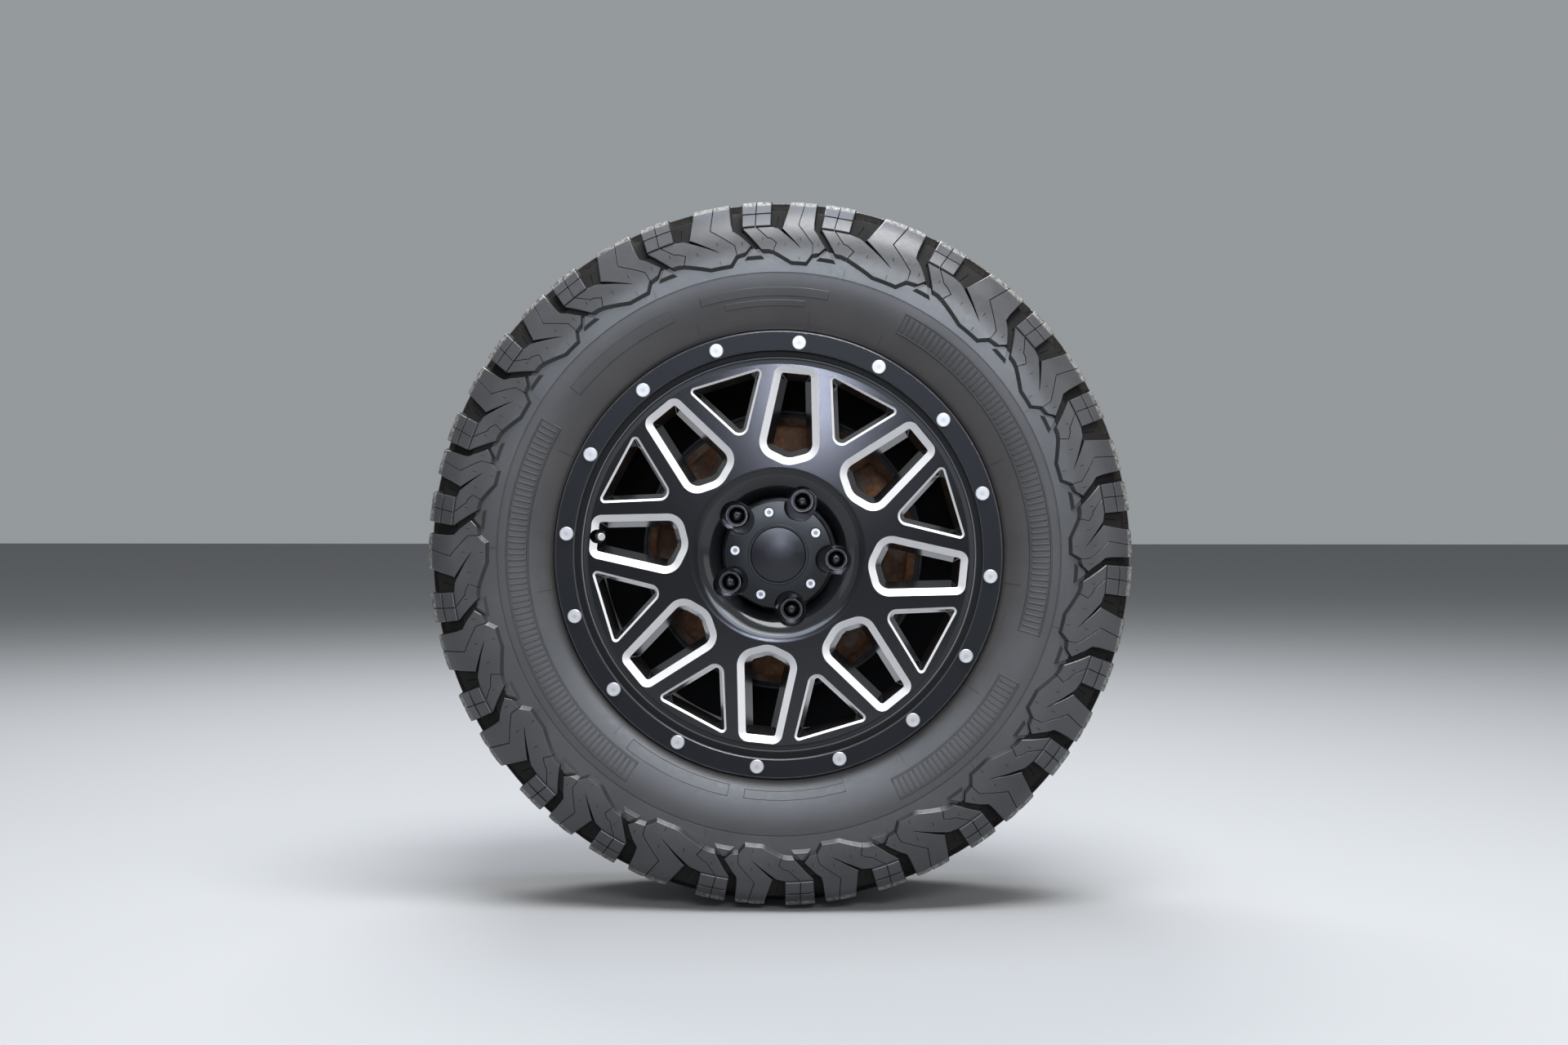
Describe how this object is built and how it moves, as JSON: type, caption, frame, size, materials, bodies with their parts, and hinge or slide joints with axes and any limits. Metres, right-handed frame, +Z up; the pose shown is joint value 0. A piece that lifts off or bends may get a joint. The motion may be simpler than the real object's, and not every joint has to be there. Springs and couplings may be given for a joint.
{
  "type": "off-road wheel with tyre on a drum brake stub axle",
  "caption": "Off-road wheel with tyre and bolted lip ring, on its brake drum and hub, free to turn on a flanged stub axle with its backing plate.",
  "frame": {"origin": "centre of the stub axle flange's inboard face, where the wheel end bolts to an axle", "axes": "+Z up, Y along the axle with the wheel's face towards -Y and the vehicle towards +Y, +X to the right seen from the wheel's face"},
  "size_m": [0.8019, 0.282, 0.802],
  "materials": {
    "tyre": "moulded tread, dusty",
    "black_alloy": "satin black with bright milled window edges",
    "black_ring": "satin black",
    "bright_steel": "turned",
    "black_chrome": "polished black, with a bright rim at the mouth",
    "black_plastic": "satin",
    "black_rubber": "matt",
    "rusty_iron": "rusted",
    "bare_iron": "dull with light rust",
    "turned_steel": "turned",
    "black_steel": "dull black with dust"
  },
  "bodies": {
    "axle_end": {"stub_axle": "turned_steel", "backing_plate": "black_steel", "wheel_cylinder": "bare_iron", "bleed_screw": "turned_steel", "adjuster_plug": "black_rubber", "shoe_pins": "turned_steel"},
    "wheel": {"tyre": "tyre", "rim": "black_alloy", "lip_ring": "black_ring", "ring_screws": "bright_steel", "centre_cap": "black_plastic", "cap_disc": "black_plastic", "cap_screws": "bright_steel", "lug_nuts": "black_chrome", "valve_stem": "black_rubber", "valve_cap": "bright_steel", "brake_drum": "rusty_iron", "wheel_hub": "bare_iron", "wheel_studs": "turned_steel"}
  },
  "joints": [
    {"name": "wheel_spin", "type": "hinge", "parent": "axle_end", "child": "wheel", "pos_m": [0, -0.087, 0], "axis": [0, 1, 0], "continuous": true}
  ]
}
